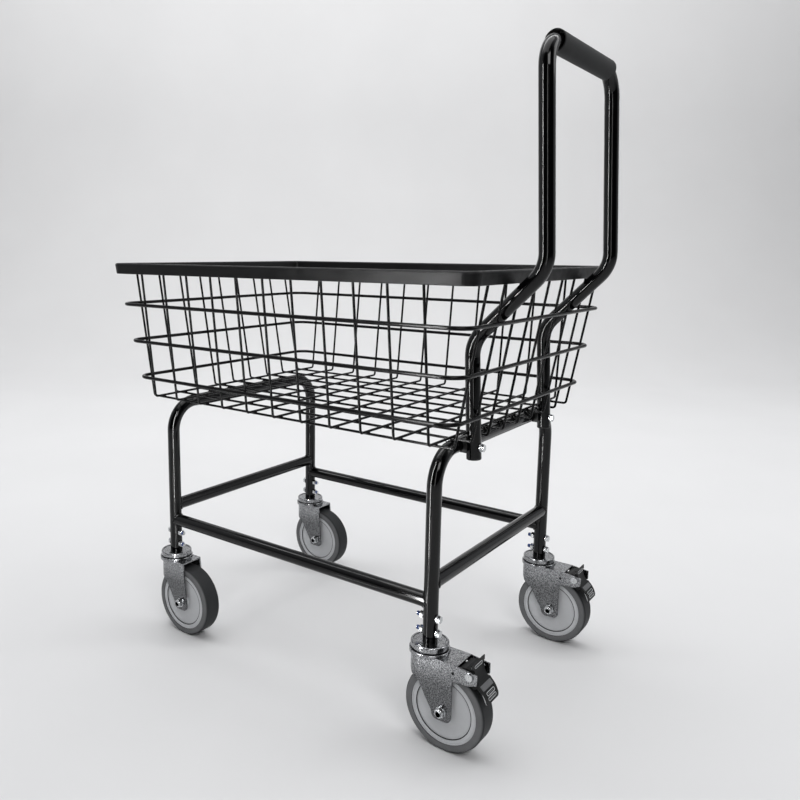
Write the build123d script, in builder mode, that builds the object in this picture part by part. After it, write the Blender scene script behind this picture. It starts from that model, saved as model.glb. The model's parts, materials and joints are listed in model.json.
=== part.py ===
"""Wire laundry cart on four swivel casters: tube base, tapered wire basket, push handle.

Millimetres. X runs along the cart with the handle at +X, Y across it, Z up.
The cart is drawn about the middle of its four legs and moved as it is saved, so that the
origin is on the floor under the middle of its overall length and width.
"""

import os
from math import cos, radians, sqrt, tan

from build123d import *

os.makedirs("parts", exist_ok=True)

# ---- driving dimensions -------------------------------------------------
TUBE_R = 11.0              # outer radius of every frame and handle tube
TUBE_WALL = 1.5
FIT = 0.05                 # radial clearance of a part inside or against another
GAP = 0.4                  # clearance between bodies that move past each other

CENTRE_X = -19.2           # from the middle of the legs to the middle of the whole cart
LEG_X = 274.0              # leg axes
LEG_Y = 201.0
LEG_BOTTOM = 152.2
CROSS_Z = 431.0            # axis of the tubes that carry the basket
FRAME_BEND = 50.0
SIDE_RAIL_Z = 212.0
CROSS_RAIL_Z = 240.0

TOUCH = 0.05               # air left between wires that are welded where they cross
WIRE_R = 2.0               # upright and floor wires
RING_R = 3.0               # horizontal rings and rim wire
SIDE_HOOPS = 11
SIDE_PITCH = 56.7
END_HOOPS = 9
END_PITCH = 51.7
HOOP_BEND = 5.0
BASKET_X = -5.5            # the basket is welded on a little towards the front
END_FLOOR_Z = CROSS_Z + TUBE_R + WIRE_R + TOUCH
SIDE_FLOOR_Z = END_FLOOR_Z + 2 * WIRE_R + TOUCH
WALL_REF_Z = 548.0         # height at which the wall half sizes are given
HALF_LENGTH = 330.5
HALF_WIDTH = 238.4
END_SLOPE = 0.182          # how far the end walls lean out per mm of height
SIDE_SLOPE = 0.108
RING_HEIGHTS = {"ring_bottom": 482.0, "ring_middle": 548.0, "ring_top": 614.0}
RING_CORNER = 27.5

RIM_BOTTOM = 668.0
RIM_TALL = 19.0
RIM_THICK = 11.0
RIM_SKIN = 1.4             # wall of the trim channel
RIM_LEAN = 8.3             # degrees, between the leans of the side and end walls
RIM_TOP_ROUND = 4.0
RIM_LOW_ROUND = 1.5
RIM_CORNER = 12.0
RIM_WIRE_Z = 678.0

HANDLE_X = LEG_X + 2 * TUBE_R + 1.0
HANDLE_Y = 130.0
HANDLE_LEAN = 3.0          # degrees, towards the basket
HANDLE_END_Z = 415.0
HANDLE_OUT = 110.0         # how far the upper part stands outside the lower part
HANDLE_LOW_BEND_Z = 584.0
HANDLE_HIGH_BEND_Z = 683.0
HANDLE_BAR_Z = 979.0
HANDLE_BEND = 50.0
BAR_BEND = 38.0
GRIP_R = 15.0
GRIP_HALF = 103.0
GRIP_SKIN = 1.4            # wall of the sleeve where its ends open out
EDGE = 1.2                 # rounding of small edges
BOLT_R = 3.0

STEM_BOLT_HEIGHTS = (166.0, 188.0)

WHEEL_R = 63.5
TYRE_INNER_R = 52.0
TYRE_HALF = 17.0
TYRE_SHOULDER = 5.0
HUB_HALF = 16.0
HUB_BOSS_R = 13.0
HUB_DISH = 1.5             # depth of the dished face inside the groove
GROOVE_R = 44.0
GROOVE_HALF = 0.6
GROOVE_DEEP = 2.2
TRAIL = 33.3               # wheel axle behind the swivel axis
HEAD_R = 28.0
DISC_TALL = 7.4            # swivel plate below the leg
LIP_TALL = 1.0             # raised edge round the swivel plate
LIP_WIDE = 3.2
LIP_ROUND = 2.0
STEM_TOP = 200.0
CROWN_TOP = 143.2
CROWN_BOTTOM = 137.5
RACE_INSET = 2.5
RACE_WIDE = 8.5
FORK_HALF = 22.0
PLATE = 2.5
FORK_INNER = FORK_HALF - PLATE
FORK_X = -6.0              # centre of the fork's rounded front
FORK_NOSE = [(-28.0, 127.0), (-23.6, 111.0), (-18.8, 104.0)]
FORK_EDGE = [(-4.6, 97.0), (5.5, 78.5), (16.6, 60.5)]
FOOT_FRONT = 19.0
FOOT_BACK = TRAIL + 15.3
FOOT_DROP = 14.5           # foot of the fork below the axle
FOOT_ROUND = 8.5
PLAIN_BACK = 41.0          # rear edge of the crown on a fork without a brake
FLANGE_R = 30.0            # lower ring of the swivel head, on the fork
WEB_END = 56.0             # rear edge of the braked fork's top plate
ARM_LOW = 115.0
ARM_END = 86.0
ARM_HOLE = (50.0, 128.0)
ARM_HOLE_R = 2.2
AXLE_R = 4.0
AXLE_FLATS = 13.0
AXLE_HEAD = 5.0
AXLE_NUT = 5.5
AXLE_OUT = 2.5             # thread showing past the nut
AXLE_WASHER_R = 8.0
AXLE_WASHER = 1.6
KINGPIN_R = 6.0
PIN_HEAD = 3.0
PEDAL_PIVOT = (75.0, 131.0)    # X behind the swivel axis, Z
PEDAL_TOP_HALF = 20.0
PEDAL_FOOT_HALF = 18.0
PEDAL_WAIST_HALF = 14.0
PEDAL_TIP = (77.6, 148.0)
PEDAL_KNEE = (89.5, 118.0)
PEDAL_TOE = (102.0, 96.5)
PEDAL_SKIN = 3.0
PEDAL_CORNER = 6.0
NOTCH_TALL = 21.0
NOTCH_ROUND = 4.0
BLOCK_HALF = 17.0
TYRE_CLEAR = 3.5           # pedal block above the tyre
PIVOT_HEAD_R = 5.5
PIVOT_HEAD = 2.0

CASTERS = {
    "front_left": (-LEG_X, -LEG_Y),
    "front_right": (-LEG_X, LEG_Y),
    "rear_left": (LEG_X, -LEG_Y),
    "rear_right": (LEG_X, LEG_Y),
}
BRAKED = ("rear_left", "rear_right")


def save(piece, name, at=(0, 0)):
    """Puts a finished piece in place, centres it with the cart, names it and writes its file."""
    with BuildPart() as placed:
        with Locations((CENTRE_X + at[0], at[1], 0)):
            add(piece.part)
    placed.part.label = name
    export_step(placed.part, f"parts/{name}.step")


# ---- paths and bars -----------------------------------------------------
def bent_path(corners, radii):
    """Straight runs joined by tangent arcs, added to the active line builder."""
    points = [Vector(*corner) for corner in corners]
    start = points[0]
    for before, corner, after, radius in zip(points, points[1:], points[2:], radii):
        way_in = (corner - before).normalized()
        way_out = (after - corner).normalized()
        turn = radians(way_in.get_angle(way_out))
        reach = radius * tan(turn / 2)
        first = corner - way_in * reach
        last = corner + way_out * reach
        inward = (way_out - way_in).normalized()
        middle = corner + inward * (radius / cos(turn / 2) - radius)
        Line(start, first)
        ThreePointArc(first, middle, last)
        start = last
    Line(start, points[-1])


def sweep_bar(corners, radii, outer, inner=0.0):
    """A round bar or tube along a bent path, added to the active part."""
    with BuildLine(mode=Mode.PRIVATE) as route:
        bent_path(corners, radii)
    way = Vector(*corners[1]) - Vector(*corners[0])
    with BuildSketch(Plane(origin=corners[0], z_dir=way)) as section:
        Circle(outer)
        if inner:
            Circle(inner, mode=Mode.SUBTRACT)
    sweep(sections=section.sketch, path=route.line)


def rod(centre, along, length, radius, mode=Mode.ADD):
    """A straight round rod centred on a point, in the active part."""
    middle = Vector(*centre)
    direction = Vector(*along)
    with BuildSketch(Plane(origin=middle - direction * (length / 2), z_dir=direction)) as section:
        Circle(radius)
    extrude(section.sketch, amount=length, mode=mode)


def hexagon(base, along, height, across_flats):
    """A hexagonal nut or bolt head that stands on a point, in the active part."""
    with BuildSketch(Plane(origin=base, z_dir=along)) as section:
        RegularPolygon(across_flats / 2, 6, major_radius=False)
    extrude(section.sketch, amount=height)


# ---- base frame ---------------------------------------------------------
def leg_points():
    return [(x, y) for x in (-LEG_X, LEG_X) for y in (-LEG_Y, LEG_Y)]


def end_frame(side):
    """An inverted U: leg, cross tube under the basket, leg."""
    x = side * LEG_X
    corners = [(x, -LEG_Y, LEG_BOTTOM), (x, -LEG_Y, CROSS_Z), (x, LEG_Y, CROSS_Z), (x, LEG_Y, LEG_BOTTOM)]
    with BuildPart() as frame:
        sweep_bar(corners, [FRAME_BEND] * 2, TUBE_R, TUBE_R - TUBE_WALL)
        for y in (-LEG_Y, LEG_Y):
            for z in STEM_BOLT_HEIGHTS:
                rod((x, y, z), (1, 0, 0), 3 * TUBE_R, BOLT_R + FIT, Mode.SUBTRACT)
        if side > 0:
            for y in (-HANDLE_Y, HANDLE_Y):
                rod((x, y, CROSS_Z), (1, 0, 0), 3 * TUBE_R, BOLT_R + FIT, Mode.SUBTRACT)
    return frame


def rail(centre, along, length):
    """A tube between two legs, its ends shaped to fit round them."""
    with BuildPart() as tube:
        rod(centre, along, length, TUBE_R)
        rod(centre, along, length, TUBE_R - TUBE_WALL, Mode.SUBTRACT)
        for x, y in leg_points():
            rod((x, y, centre[2]), (0, 0, 1), 4 * TUBE_R, TUBE_R + FIT, Mode.SUBTRACT)
    return tube


def build_frame():
    save(end_frame(-1), "end_frame_front")
    save(end_frame(1), "end_frame_rear")
    save(rail((0, -LEG_Y, SIDE_RAIL_Z), (1, 0, 0), 2 * LEG_X), "side_rail_left")
    save(rail((0, LEG_Y, SIDE_RAIL_Z), (1, 0, 0), 2 * LEG_X), "side_rail_right")
    save(rail((-LEG_X, 0, CROSS_RAIL_Z), (0, 1, 0), 2 * LEG_Y), "cross_rail_front")
    save(rail((LEG_X, 0, CROSS_RAIL_Z), (0, 1, 0), 2 * LEG_Y), "cross_rail_rear")


# ---- basket -------------------------------------------------------------
def half_length(z):
    return HALF_LENGTH + END_SLOPE * (z - WALL_REF_Z)


def half_width(z):
    return HALF_WIDTH + SIDE_SLOPE * (z - WALL_REF_Z)


def hoops(count, pitch, corner):
    """Parallel wires that each go down one wall, across the floor and up the other."""
    with BuildPart() as wires:
        for i in range(count):
            place = (i - (count - 1) / 2) * pitch
            corners = corner(place)
            sweep_bar(corners, [HOOP_BEND] * 2, WIRE_R)
    return wires


def side_hoop(x):
    top = RIM_WIRE_Z - RING_R - TOUCH
    low, high = half_width(SIDE_FLOOR_Z), half_width(top)
    return [(x, -high, top), (x, -low, SIDE_FLOOR_Z), (x, low, SIDE_FLOOR_Z), (x, high, top)]


def end_hoop(y):
    top = RIM_WIRE_Z - RING_R - TOUCH
    low, high = half_length(END_FLOOR_Z), half_length(top)
    return [(-high, y, top), (-low, y, END_FLOOR_Z), (low, y, END_FLOOR_Z), (high, y, top)]


def loop_wire(z, length_half, width_half, corner):
    """A closed rectangular ring of wire with rounded corners."""
    with BuildSketch(Plane.XY.offset(z)) as outline:
        RectangleRounded(2 * length_half, 2 * width_half, corner)
    with BuildPart() as ring:
        with BuildSketch(Plane(origin=(0, -width_half, z), z_dir=(1, 0, 0))) as section:
            Circle(RING_R)
        sweep(sections=section.sketch, path=outline.sketch.faces()[0].outer_wire())
    return ring


def basket_ring(z):
    """A ring outside the uprights, just touching them on the leaning walls."""
    touch = RING_R + WIRE_R + TOUCH
    length = half_length(z) + touch * sqrt(1 + END_SLOPE**2)
    width = half_width(z) + touch * sqrt(1 + SIDE_SLOPE**2)
    return loop_wire(z, length, width, RING_CORNER)


def rim_outline(grow):
    """The rounded rectangle round the foot of the rim, grown or shrunk about the wire line."""
    length, width = half_length(RIM_BOTTOM) + grow, half_width(RIM_BOTTOM) + grow
    RectangleRounded(2 * length, 2 * width, RIM_CORNER + grow)


def rim_prism(grow, tall, mode):
    """A solid inside the rim outline that leans out as the basket walls do, in the active part."""
    with BuildSketch(Plane.XY.offset(RIM_BOTTOM)) as outline:
        rim_outline(grow)
    extrude(outline.sketch, amount=tall, taper=-RIM_LEAN, mode=mode)


def rim_trim():
    """The padded channel pushed down over the rim wire and the tops of the hoops."""
    half = RIM_THICK / 2
    slot = half - RIM_SKIN
    with BuildPart() as channel:
        rim_prism(slot, RIM_WIRE_Z + RING_R + TOUCH - RIM_BOTTOM, Mode.ADD)
        rim_prism(-slot, RIM_WIRE_Z + RING_R + TOUCH - RIM_BOTTOM, Mode.SUBTRACT)
    with BuildPart() as trim:
        rim_prism(half, RIM_TALL, Mode.ADD)
        rim_prism(-half, RIM_TALL, Mode.SUBTRACT)
        fillet(trim.faces().sort_by(Axis.Z)[-1].edges(), RIM_TOP_ROUND)
        fillet(trim.faces().sort_by(Axis.Z)[0].edges(), RIM_LOW_ROUND)
        add(channel.part, mode=Mode.SUBTRACT)
    return trim


def build_basket():
    at = (BASKET_X, 0)
    z = RIM_WIRE_Z
    save(hoops(SIDE_HOOPS, SIDE_PITCH, side_hoop), "side_hoops", at)
    save(hoops(END_HOOPS, END_PITCH, end_hoop), "end_hoops", at)
    for name, height in RING_HEIGHTS.items():
        save(basket_ring(height), name, at)
    save(loop_wire(z, half_length(z), half_width(z), RIM_CORNER), "rim_wire", at)
    save(rim_trim(), "rim_trim", at)


# ---- handle -------------------------------------------------------------
# The handle is drawn upright and then leaned about its bolts.
LEAN_AXIS = Axis((HANDLE_X, 0, CROSS_Z), (0, 1, 0))
BAR_X = HANDLE_X + HANDLE_OUT
HANDLE_SIDES = (-HANDLE_Y, HANDLE_Y)


def lean(piece):
    """The upright piece, tipped towards the basket; added to the active part."""
    add(piece.part.rotate(LEAN_AXIS, -HANDLE_LEAN))


def handle_tube():
    """One tube: two legs inside the basket, out under the rim, up to the bar."""
    near = [
        (HANDLE_X, -HANDLE_Y, HANDLE_END_Z),
        (HANDLE_X, -HANDLE_Y, HANDLE_LOW_BEND_Z),
        (BAR_X, -HANDLE_Y, HANDLE_HIGH_BEND_Z),
        (BAR_X, -HANDLE_Y, HANDLE_BAR_Z),
    ]
    far = [(x, -y, z) for x, y, z in reversed(near)]
    radii = [HANDLE_BEND, HANDLE_BEND, BAR_BEND, BAR_BEND, HANDLE_BEND, HANDLE_BEND]
    with BuildPart() as upright:
        sweep_bar(near + far, radii, TUBE_R, TUBE_R - TUBE_WALL)
    with BuildPart() as tube:
        lean(upright)
        for y in HANDLE_SIDES:
            rod((HANDLE_X, y, CROSS_Z), (1, 0, 0), 3 * TUBE_R, BOLT_R + FIT, Mode.SUBTRACT)
    return tube


def handle_grip():
    """Foam sleeve over the bar; its ends open out where the tube starts to bend."""
    flare = GRIP_HALF - (HANDLE_Y - BAR_BEND) + EDGE
    with BuildPart() as upright:
        rod((BAR_X, 0, HANDLE_BAR_Z), (0, 1, 0), 2 * GRIP_HALF, GRIP_R)
        fillet(upright.edges().filter_by(GeomType.CIRCLE), EDGE)
        rod((BAR_X, 0, HANDLE_BAR_Z), (0, 1, 0), 2 * GRIP_HALF, TUBE_R + FIT, Mode.SUBTRACT)
        for end in (-1, 1):
            middle = end * (GRIP_HALF - flare / 2)
            rod((BAR_X, middle, HANDLE_BAR_Z), (0, 1, 0), flare, GRIP_R - GRIP_SKIN, Mode.SUBTRACT)
    with BuildPart() as grip:
        lean(upright)
    return grip


def handle_plugs():
    """Caps pressed into the lower ends of the handle's two legs."""
    cap = 3.0
    shank = 15.0
    with BuildPart() as upright:
        for y in HANDLE_SIDES:
            rod((HANDLE_X, y, HANDLE_END_Z - cap / 2 - FIT), (0, 0, 1), cap, TUBE_R)
        lower = upright.edges().group_by(Axis.Z)[0]
        fillet(lower, cap - EDGE)
        for y in HANDLE_SIDES:
            rod((HANDLE_X, y, HANDLE_END_Z + shank / 2 - cap), (0, 0, 1), shank, TUBE_R - TUBE_WALL - FIT)
    with BuildPart() as plugs:
        lean(upright)
    return plugs


def handle_saddles():
    """Shaped spacers between each handle leg and the cross tube it is bolted to."""
    middle = (LEG_X + HANDLE_X) / 2
    wide = 1.7 * TUBE_R
    with BuildPart() as saddles:
        for y in HANDLE_SIDES:
            with Locations((middle, y, CROSS_Z)):
                Box(HANDLE_X - LEG_X, wide, wide)
            rod((LEG_X, y, CROSS_Z), (0, 1, 0), 4 * TUBE_R, TUBE_R + FIT, Mode.SUBTRACT)
            axis = Vector(0, 0, 1).rotate(Axis.Y, -HANDLE_LEAN)
            rod((HANDLE_X, y, CROSS_Z), axis, 4 * TUBE_R, TUBE_R + FIT, Mode.SUBTRACT)
            rod((middle, y, CROSS_Z), (1, 0, 0), 3 * TUBE_R, BOLT_R + FIT, Mode.SUBTRACT)
    return saddles


# ---- fasteners ----------------------------------------------------------
HEAD_TALL = 4.5
NUT_TALL = 5.0
FLATS = 10.0
WASHER_R = 6.5
WASHER_TALL = 1.2
THREAD_OUT = 6.0


def bolt(seat, along, grip):
    """A hexagon bolt with its washer; its head sits at the seat and its shank runs back."""
    direction = Vector(*along)
    base = Vector(*seat)
    shank = grip + NUT_TALL + THREAD_OUT + FIT
    rod(base + direction * (WASHER_TALL / 2), along, WASHER_TALL, WASHER_R)
    hexagon(base + direction * WASHER_TALL, along, HEAD_TALL, FLATS)
    rod(base - direction * (shank / 2), along, shank, BOLT_R)


def nut(seat, along):
    """A nut with a running bore, its face on the seat and its height along the direction."""
    hexagon(seat, along, NUT_TALL, FLATS)
    rod(seat, along, 3 * NUT_TALL, BOLT_R + FIT, Mode.SUBTRACT)


def build_fasteners():
    leg_seat = TUBE_R + FIT
    with BuildPart() as stem_bolts:
        for x, y in leg_points():
            way = 1 if x > 0 else -1
            for z in STEM_BOLT_HEIGHTS:
                bolt((x + way * leg_seat, y, z), (way, 0, 0), 2 * leg_seat)
    save(stem_bolts, "stem_bolts")
    with BuildPart() as stem_nuts:
        for x, y in leg_points():
            way = 1 if x > 0 else -1
            for z in STEM_BOLT_HEIGHTS:
                nut((x - way * leg_seat, y, z), (-way, 0, 0))
    save(stem_nuts, "stem_nuts")
    head_x = HANDLE_X + TUBE_R + GAP
    nut_x = LEG_X - leg_seat
    with BuildPart() as handle_bolts:
        for y in HANDLE_SIDES:
            bolt((head_x, y, CROSS_Z), (1, 0, 0), head_x - nut_x)
    save(handle_bolts, "handle_bolts")
    with BuildPart() as handle_nuts:
        for y in HANDLE_SIDES:
            nut((nut_x, y, CROSS_Z), (-1, 0, 0))
    save(handle_nuts, "handle_nuts")


def build_handle():
    save(handle_tube(), "handle_tube")
    save(handle_grip(), "handle_grip")
    save(handle_plugs(), "handle_plugs")
    save(handle_saddles(), "handle_saddles")


# ---- casters, drawn about the swivel axis with the wheel trailing to +X --
UP = (0, 0, 1)
ACROSS = (0, 1, 0)


def axle_rod(low_y, high_y, radius, mode=Mode.ADD):
    """A round piece along the wheel axle between two places across it, in the active part."""
    rod((TRAIL, (low_y + high_y) / 2, WHEEL_R), ACROSS, high_y - low_y, radius, mode)


def post(low, high, radius, mode=Mode.ADD):
    """A round piece on the swivel axis between two heights, in the active part."""
    rod((0, 0, (low + high) / 2), UP, high - low, radius, mode)


def caster_top():
    """Stem, swivel plate with its raised edge, and the riveted kingpin, all fixed to the cart."""
    disc_low = LEG_BOTTOM - DISC_TALL
    lip_top = LEG_BOTTOM + LIP_TALL
    pin_low = CROWN_BOTTOM - GAP
    with BuildPart() as top:
        post(disc_low, lip_top, HEAD_R)
        fillet(top.edges().group_by(Axis.Z)[-1], LIP_ROUND)
        fillet(top.edges().group_by(Axis.Z)[0], EDGE)
        post(LEG_BOTTOM, lip_top, HEAD_R - LIP_WIDE, Mode.SUBTRACT)
        post(LEG_BOTTOM, STEM_TOP, TUBE_R - TUBE_WALL - FIT)
        chamfer(top.edges().group_by(Axis.Z)[-1], EDGE)
        post(pin_low, disc_low, KINGPIN_R)
        post(pin_low - PIN_HEAD, pin_low, 1.5 * KINGPIN_R)
        fillet(top.edges().group_by(Axis.Z)[0], EDGE)
        for z in STEM_BOLT_HEIGHTS:
            rod((0, 0, z), (1, 0, 0), 3 * TUBE_R, BOLT_R + FIT, Mode.SUBTRACT)
    return top


def ball_race():
    """The dark race ring seen in the gap of the swivel head."""
    low = CROWN_TOP + FIT
    high = LEG_BOTTOM - DISC_TALL - GAP
    with BuildPart() as race:
        post(low, high, HEAD_R - RACE_INSET)
        post(low, high, HEAD_R - RACE_INSET - RACE_WIDE, Mode.SUBTRACT)
    return race


def fork_outline(braked):
    """Side view of the fork, X back from the swivel axis and Z up."""
    top = CROWN_BOTTOM + PLATE
    foot = WHEEL_R - FOOT_DROP
    front = [(FORK_X - FORK_HALF, top)] + FORK_NOSE + FORK_EDGE + [(FOOT_FRONT, foot), (FOOT_BACK, foot)]
    if braked:
        pivot_x, pivot_z = PEDAL_PIVOT
        arm = [(FOOT_BACK, ARM_LOW), (pivot_x, ARM_LOW + PLATE)]
        end = [(ARM_END, pivot_z - 9), (ARM_END, pivot_z + 6)]
        return front + arm + end + [(WEB_END, top)]
    return front + [(FOOT_BACK, WHEEL_R), (PLAIN_BACK, top)]


def fork_plan(half, mode):
    """Plan of the fork's pressing: a round front with straight sides running back."""
    with Locations((FORK_X, 0)):
        Circle(half, mode=mode)
        Rectangle(5 * FORK_HALF, 2 * half, align=(Align.MIN, Align.CENTER), mode=mode)


def fork(braked):
    """Pressed fork: crown, rounded front, two side plates, and arms for a brake."""
    with BuildPart() as body:
        with BuildSketch(Plane.XZ.offset(-FORK_HALF)) as side:
            with BuildLine():
                Polyline(*fork_outline(braked), close=True)
            make_face()
            fillet(side.vertices().group_by(Axis.Y)[0], FOOT_ROUND)
        extrude(side.sketch, amount=2 * FORK_HALF)
        with BuildSketch(Plane.XY) as plan:
            fork_plan(FORK_HALF, Mode.ADD)
        extrude(plan.sketch, amount=2 * CROWN_TOP, mode=Mode.INTERSECT)
        with BuildSketch(Plane.XY) as hollow:
            fork_plan(FORK_INNER, Mode.ADD)
        extrude(hollow.sketch, amount=CROWN_BOTTOM, mode=Mode.SUBTRACT)
        if braked:
            with BuildSketch(Plane.XY) as behind:
                with Locations((WEB_END, 0)):
                    Rectangle(2 * FORK_HALF, 2 * FORK_INNER, align=(Align.MIN, Align.CENTER))
            extrude(behind.sketch, amount=CROWN_TOP, mode=Mode.SUBTRACT)
            rod((PEDAL_PIVOT[0], 0, PEDAL_PIVOT[1]), ACROSS, 3 * FORK_HALF, BOLT_R + FIT, Mode.SUBTRACT)
            for y in (-FORK_HALF, FORK_HALF):
                rod((ARM_HOLE[0], y, ARM_HOLE[1]), ACROSS, 3 * PLATE, ARM_HOLE_R, Mode.SUBTRACT)
        post(CROWN_BOTTOM, CROWN_TOP, FLANGE_R)
        fillet(body.edges().filter_by(GeomType.CIRCLE).group_by(Axis.Z)[-1], EDGE)
        post(CROWN_BOTTOM - PLATE, CROWN_TOP + PLATE, KINGPIN_R + FIT, Mode.SUBTRACT)
        axle_rod(-2 * FORK_HALF, 2 * FORK_HALF, AXLE_R + FIT, Mode.SUBTRACT)
    return body


def axle():
    """Axle bolt with its washer and head, and the nut at the other end."""
    seat = FORK_HALF + FIT
    face = seat + AXLE_WASHER
    with BuildPart() as bolt_part:
        axle_rod(seat, face, AXLE_WASHER_R)
        hexagon((TRAIL, face, WHEEL_R), ACROSS, AXLE_HEAD, AXLE_FLATS)
        axle_rod(-face - AXLE_NUT - AXLE_OUT, seat, AXLE_R)
    with BuildPart() as nut_part:
        axle_rod(-face, -seat, AXLE_WASHER_R)
        hexagon((TRAIL, -face, WHEEL_R), (0, -1, 0), AXLE_NUT, AXLE_FLATS)
        axle_rod(-2 * face, 0, AXLE_R + FIT, Mode.SUBTRACT)
    with BuildPart() as both:
        add(bolt_part.part)
        add(nut_part.part)
    return both


def axle_sleeve():
    """Spacer tube clamped between the fork plates; the wheel turns on it."""
    half = FORK_INNER - 2 * FIT
    with BuildPart() as sleeve:
        axle_rod(-half, half, KINGPIN_R)
        axle_rod(-half, half, AXLE_R + FIT, Mode.SUBTRACT)
    return sleeve


def hub():
    """Moulded wheel centre with a boss, a shallow dish and a groove on each face."""
    with BuildPart() as disc:
        axle_rod(-HUB_HALF, HUB_HALF, TYRE_INNER_R - FIT)
        for side in (-1, 1):
            face = side * HUB_HALF
            dish = sorted((face, face - side * HUB_DISH))
            axle_rod(*dish, GROOVE_R - GROOVE_HALF, Mode.SUBTRACT)
            with BuildSketch(Plane(origin=(TRAIL, face, WHEEL_R), z_dir=(0, -side, 0))) as ring:
                Circle(GROOVE_R + GROOVE_HALF)
                Circle(GROOVE_R - GROOVE_HALF, mode=Mode.SUBTRACT)
            extrude(ring.sketch, amount=GROOVE_DEEP, mode=Mode.SUBTRACT)
        boss = FORK_INNER - GAP
        axle_rod(-boss, boss, HUB_BOSS_R)
        axle_rod(-boss, boss, KINGPIN_R + FIT, Mode.SUBTRACT)
    return disc


def tyre():
    """Solid rubber tyre with rounded shoulders."""
    with BuildPart() as ring:
        axle_rod(-TYRE_HALF, TYRE_HALF, WHEEL_R)
        fillet(ring.edges().filter_by(GeomType.CIRCLE), TYRE_SHOULDER)
        axle_rod(-TYRE_HALF, TYRE_HALF, TYRE_INNER_R, Mode.SUBTRACT)
    return ring


def tread_side():
    """Side view of the tread plate: hollow above the knee, arched below it, added as lines."""
    hollow, arch = (80.2, 132.5), (97.7, 108.4)
    tip_in = (PEDAL_TIP[0] - PEDAL_SKIN / 2, PEDAL_TIP[1])
    hollow_in = (hollow[0] - PEDAL_SKIN, hollow[1] - PEDAL_SKIN / 4)
    knee_in = (PEDAL_KNEE[0] - PEDAL_SKIN * 0.8, PEDAL_KNEE[1] - PEDAL_SKIN * 0.7)
    arch_in = (arch[0] - PEDAL_SKIN * 0.9, arch[1] - PEDAL_SKIN / 2)
    toe_in = (PEDAL_TOE[0] - PEDAL_SKIN, PEDAL_TOE[1])
    ThreePointArc(PEDAL_TIP, hollow, PEDAL_KNEE)
    ThreePointArc(PEDAL_KNEE, arch, PEDAL_TOE)
    Line(PEDAL_TOE, toe_in)
    ThreePointArc(toe_in, arch_in, knee_in)
    ThreePointArc(knee_in, hollow_in, tip_in)
    Line(tip_in, PEDAL_TIP)


def tread_front():
    """Front view of the tread plate, waisted where it passes between the fork arms."""
    top, low = PEDAL_TIP[1] + 1, PEDAL_TOE[1] - 1
    wide, narrow = PEDAL_TOP_HALF, PEDAL_FOOT_HALF
    with BuildSketch(Plane.YZ) as front:
        with BuildLine():
            Polyline((-wide, top), (wide, top), (narrow, low), (-narrow, low), close=True)
        make_face()
        fillet(front.vertices().group_by(Axis.Y)[0], PEDAL_CORNER)
        for side in (-1, 1):
            with Locations((side * (PEDAL_WAIST_HALF + NOTCH_TALL / 2), PEDAL_PIVOT[1])):
                RectangleRounded(NOTCH_TALL, NOTCH_TALL, NOTCH_ROUND, mode=Mode.SUBTRACT)
    return front


def block_side():
    """Side view of the pedal's block: arched over the tyre below, inside the plate behind."""
    clear_r = WHEEL_R + TYRE_CLEAR
    front_x, middle_x, back_x = WEB_END + 2, 69, 80
    heights = [WHEEL_R + sqrt(clear_r**2 - (x - TRAIL) ** 2) for x in (front_x, middle_x, back_x)]
    front_foot, middle, back_foot = zip((front_x, middle_x, back_x), heights)
    pivot_x, pivot_z = PEDAL_PIVOT
    top, step = pivot_z + 8.5, 2.2
    knee = (PEDAL_KNEE[0] - step, PEDAL_KNEE[1])
    front = [(front_x, top - step), (front_x + 4 * step, top)]
    behind = [(pivot_x + step, top), (pivot_x + 1.5 * step, pivot_z), knee]
    Polyline(front_foot, *front, *behind, back_foot)
    ThreePointArc(back_foot, middle, front_foot)


def brake_pedal():
    """Foot lever: a block between the fork arms and a curved tread plate behind them."""
    with BuildPart() as pedal:
        with BuildSketch(Plane.XZ.offset(-PEDAL_TOP_HALF)) as tread:
            with BuildLine():
                tread_side()
            make_face()
        extrude(tread.sketch, amount=2 * PEDAL_TOP_HALF)
        extrude(tread_front().sketch, amount=2 * PEDAL_TOE[0], mode=Mode.INTERSECT)
        with BuildSketch(Plane.XZ.offset(-BLOCK_HALF)) as block:
            with BuildLine():
                block_side()
            make_face()
        extrude(block.sketch, amount=2 * BLOCK_HALF)
        rod((PEDAL_PIVOT[0], 0, PEDAL_PIVOT[1]), ACROSS, 3 * FORK_HALF, BOLT_R + FIT, Mode.SUBTRACT)
    return pedal


def brake_pivot():
    """Rivet through the two fork arms that the pedal turns on."""
    head_y = FORK_HALF + FIT + PIVOT_HEAD / 2
    with BuildPart() as pin:
        rod((PEDAL_PIVOT[0], 0, PEDAL_PIVOT[1]), ACROSS, 2 * head_y, BOLT_R)
        for y in (-head_y, head_y):
            rod((PEDAL_PIVOT[0], y, PEDAL_PIVOT[1]), ACROSS, PIVOT_HEAD, PIVOT_HEAD_R)
    return pin


def build_casters():
    shared = {
        "caster_top": caster_top(),
        "ball_race": ball_race(),
        "axle": axle(),
        "axle_sleeve": axle_sleeve(),
        "hub": hub(),
        "tyre": tyre(),
    }
    plain_set = shared | {"fork": fork(False)}
    braked_set = shared | {"fork": fork(True), "brake_pedal": brake_pedal(), "brake_pivot": brake_pivot()}
    for corner, place in CASTERS.items():
        pieces = braked_set if corner in BRAKED else plain_set
        for name, piece in pieces.items():
            save(piece, f"{name}_{corner}", place)


build_frame()
build_basket()
build_handle()
build_fasteners()
build_casters()
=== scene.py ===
"""Looks of the wire laundry cart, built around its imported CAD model. Metres, +Z up."""

import json
from math import cos, pi, radians, sin, tan

import bmesh
import bpy
from mathutils import Matrix, Vector


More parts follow.
